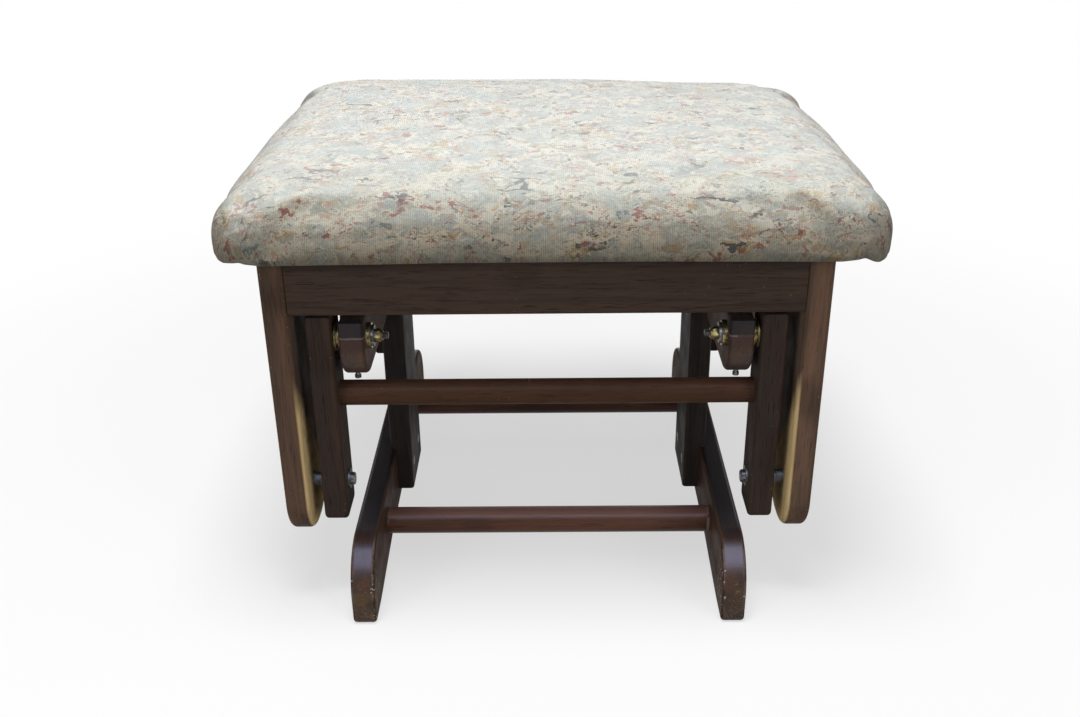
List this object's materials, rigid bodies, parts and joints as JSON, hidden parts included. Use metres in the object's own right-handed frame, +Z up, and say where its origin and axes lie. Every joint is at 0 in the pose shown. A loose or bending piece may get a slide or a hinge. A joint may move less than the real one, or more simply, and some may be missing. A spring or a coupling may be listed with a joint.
{
  "type": "glider ottoman",
  "caption": "Low padded footstool whose cushioned seat frame hangs from swinging links on a fixed wooden base and glides level, to and fro.",
  "frame": {"origin": "on the floor, under the middle of the seat", "axes": "+X to the right across the ottoman, -Y towards the front, +Z up"},
  "size_m": [0.538, 0.455, 0.3923],
  "materials": {
    "stained_wood": "dark walnut stain under satin varnish, worn at the edges",
    "plain_wood": "unfinished beech",
    "plywood": "unfinished birch plywood",
    "upholstery": "tapestry weave with fine upright ribs",
    "foam": "open-cell foam",
    "brass": "brass plating, slightly dulled",
    "zinc_steel": "zinc-plated steel",
    "dark_steel": "black-oxide steel"
  },
  "bodies": {
    "base": {"base_foot_left": "stained_wood", "base_foot_right": "stained_wood", "base_post_left": "stained_wood", "base_post_right": "stained_wood", "base_arm_left": "stained_wood", "base_arm_right": "stained_wood", "base_stretcher_front": "stained_wood", "base_stretcher_rear": "stained_wood", "arm_bushes": "brass", "bush_set_screws": "zinc_steel", "foot_post_screws": "dark_steel", "arm_post_screws": "dark_steel", "base_stretcher_screws": "dark_steel"},
    "front_links": {"link_front_left": "stained_wood", "link_front_right": "stained_wood", "link_stretcher_front": "stained_wood", "link_stretcher_screws_front": "dark_steel", "upper_bolts_front": "zinc_steel", "upper_washers_front": "zinc_steel", "upper_nuts_front": "brass", "link_bushes_front": "brass"},
    "rear_links": {"link_rear_left": "stained_wood", "link_rear_right": "stained_wood", "link_stretcher_rear": "stained_wood", "link_stretcher_screws_rear": "dark_steel", "upper_bolts_rear": "zinc_steel", "upper_washers_rear": "zinc_steel", "upper_nuts_rear": "brass", "link_bushes_rear": "brass"},
    "seat": {"seat_leg_front_left": "stained_wood", "seat_leg_front_right": "stained_wood", "seat_leg_rear_left": "stained_wood", "seat_leg_rear_right": "stained_wood", "apron_front": "stained_wood", "apron_rear": "stained_wood", "side_rail_left": "stained_wood", "side_rail_right": "stained_wood", "apron_dowels": "plain_wood", "side_rail_dowels": "plain_wood", "corner_blocks": "plain_wood", "corner_block_screws": "zinc_steel", "cushion_screws": "zinc_steel", "cushion_board": "plywood", "cushion_foam": "foam", "cushion_cover": "upholstery", "lower_bolts": "zinc_steel", "lower_washers": "zinc_steel", "lower_spacers": "zinc_steel", "leg_inserts": "brass"}
  },
  "joints": [
    {"name": "front_links_swing", "type": "hinge", "parent": "base", "child": "front_links", "pos_m": [0, -0.169, 0.256], "axis": [1, 0, 0], "range_deg": [-22, 22]},
    {"name": "rear_links_swing", "type": "hinge", "parent": "base", "child": "rear_links", "pos_m": [0, 0.169, 0.256], "axis": [1, 0, 0], "range_deg": [-22, 22]},
    {"name": "seat_level", "type": "hinge", "parent": "front_links", "child": "seat", "pos_m": [0, -0.169, 0.1165], "axis": [1, 0, 0], "range_deg": [-22, 22]}
  ],
  "couplings": [
    {"joint": "rear_links_swing", "follows": "front_links_swing", "ratio": 1},
    {"joint": "seat_level", "follows": "front_links_swing", "ratio": -1}
  ]
}
